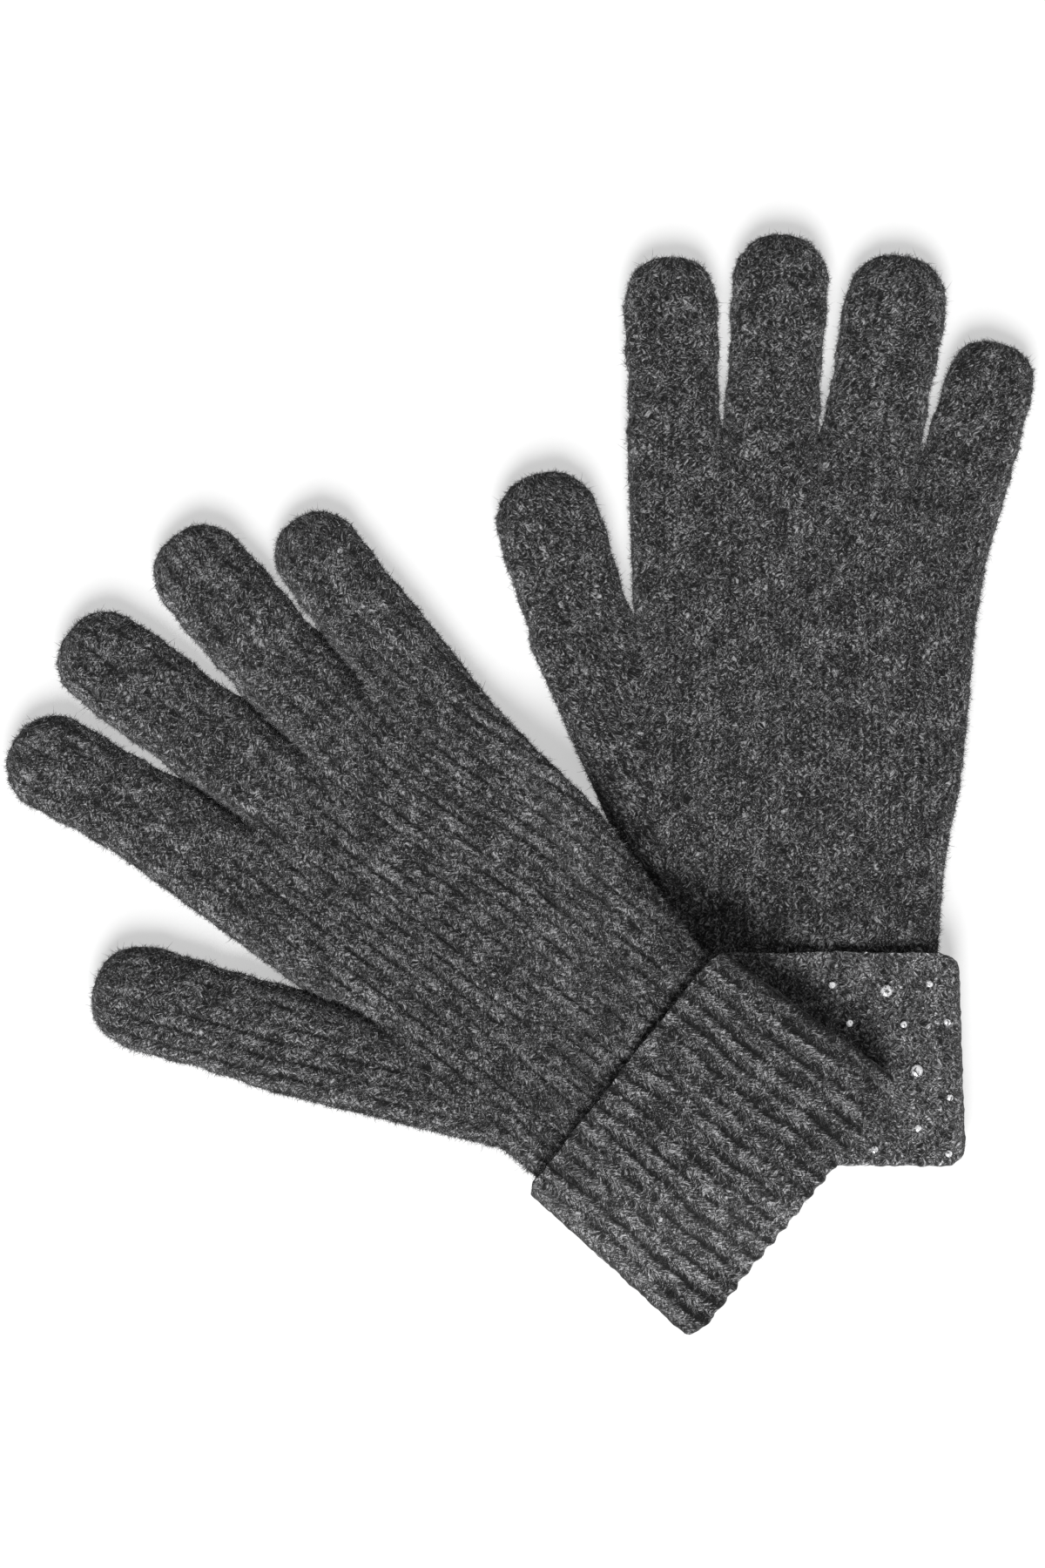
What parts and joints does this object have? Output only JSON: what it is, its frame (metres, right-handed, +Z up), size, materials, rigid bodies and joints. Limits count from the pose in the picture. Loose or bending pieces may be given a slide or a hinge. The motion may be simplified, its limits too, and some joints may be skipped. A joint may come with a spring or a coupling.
{
  "type": "pair of knitted gloves",
  "caption": "Pair of brushed wool knit gloves with turned-back ribbed cuffs set with small stones, lying crossed on a table, one palm up over the other.",
  "frame": {"origin": "centre of the pair's bounding box, on the surface it lies on", "axes": "+Z up out of the table, +Y the way the right glove's fingers point, +X to the right seen from above"},
  "size_m": [0.2848, 0.3042, 0.0258],
  "materials": {
    "brushed_wool": "charcoal melange, brushed and slightly hairy knit",
    "ribbed_wool": "charcoal melange, brushed two by two rib",
    "crystal": "clear faceted glass with a silver foil back"
  },
  "bodies": {
    "right_glove": {"right_hand": "brushed_wool", "right_cuff": "ribbed_wool", "right_stone_01": "crystal", "right_stone_02": "crystal", "right_stone_03": "crystal", "right_stone_04": "crystal", "right_stone_05": "crystal", "right_stone_06": "crystal", "right_stone_07": "crystal", "right_stone_08": "crystal", "right_stone_09": "crystal", "right_stone_10": "crystal", "right_stone_11": "crystal", "right_stone_12": "crystal", "right_stone_13": "crystal", "right_stone_14": "crystal", "right_stone_15": "crystal", "right_stone_16": "crystal", "right_stone_17": "crystal", "right_stone_18": "crystal"},
    "right_thumb": {"right_thumb": "brushed_wool"},
    "right_index": {"right_index": "brushed_wool"},
    "right_middle": {"right_middle": "brushed_wool"},
    "right_ring": {"right_ring": "brushed_wool"},
    "right_little": {"right_little": "brushed_wool"},
    "left_glove": {"left_hand": "brushed_wool", "left_cuff": "ribbed_wool", "left_stone_01": "crystal", "left_stone_02": "crystal", "left_stone_03": "crystal", "left_stone_04": "crystal", "left_stone_05": "crystal", "left_stone_06": "crystal", "left_stone_07": "crystal", "left_stone_08": "crystal", "left_stone_09": "crystal", "left_stone_10": "crystal", "left_stone_11": "crystal", "left_stone_12": "crystal", "left_stone_13": "crystal", "left_stone_14": "crystal", "left_stone_15": "crystal", "left_stone_16": "crystal", "left_stone_17": "crystal", "left_stone_18": "crystal"},
    "left_thumb": {"left_thumb": "brushed_wool"},
    "left_index": {"left_index": "brushed_wool"},
    "left_middle": {"left_middle": "brushed_wool"},
    "left_ring": {"left_ring": "brushed_wool"},
    "left_little": {"left_little": "brushed_wool"}
  },
  "joints": [
    {"name": "right_thumb_fold", "type": "hinge", "parent": "right_glove", "child": "right_thumb", "pos_m": [0.01678, 0.04234, 0.009], "axis": [0.9553, 0.2957, 0], "range_deg": [0, 90]},
    {"name": "right_index_fold", "type": "hinge", "parent": "right_glove", "child": "right_index", "pos_m": [0.04226, 0.09833, 0.009], "axis": [0.9995, 0.0314, 0], "range_deg": [0, 90]},
    {"name": "right_middle_fold", "type": "hinge", "parent": "right_glove", "child": "right_middle", "pos_m": [0.06883, 0.09787, 0.009], "axis": [0.9979, -0.0645, 0], "range_deg": [0, 90]},
    {"name": "right_ring_fold", "type": "hinge", "parent": "right_glove", "child": "right_ring", "pos_m": [0.09637, 0.09444, 0.009], "axis": [0.9839, -0.1788, 0], "range_deg": [0, 90]},
    {"name": "right_little_fold", "type": "hinge", "parent": "right_glove", "child": "right_little", "pos_m": [0.12279, 0.08834, 0.009], "axis": [0.9613, -0.2756, 0], "range_deg": [0, 90]},
    {"name": "left_glove_lift", "type": "slide", "parent": "right_glove", "child": "left_glove", "axis": [0, 0, 1], "range_m": [0, 0.12]},
    {"name": "left_thumb_fold", "type": "hinge", "parent": "left_glove", "child": "left_thumb", "pos_m": [-0.06444, -0.07049, 0.009], "axis": [0.284, 0.9588, 0], "range_deg": [0, 90]},
    {"name": "left_index_fold", "type": "hinge", "parent": "left_glove", "child": "left_index", "pos_m": [-0.10048, -0.01019, 0.009], "axis": [0.4924, 0.8704, 0], "range_deg": [0, 90]},
    {"name": "left_middle_fold", "type": "hinge", "parent": "left_glove", "child": "left_middle", "pos_m": [-0.08543, 0.01294, 0.009], "axis": [0.5948, 0.8039, 0], "range_deg": [0, 90]},
    {"name": "left_ring_fold", "type": "hinge", "parent": "left_glove", "child": "left_ring", "pos_m": [-0.06648, 0.03331, 0.009], "axis": [0.7593, 0.6508, 0], "range_deg": [0, 90]},
    {"name": "left_little_fold", "type": "hinge", "parent": "left_glove", "child": "left_little", "pos_m": [-0.0458, 0.04985, 0.009], "axis": [0.8039, 0.5948, 0], "range_deg": [0, 90]}
  ]
}
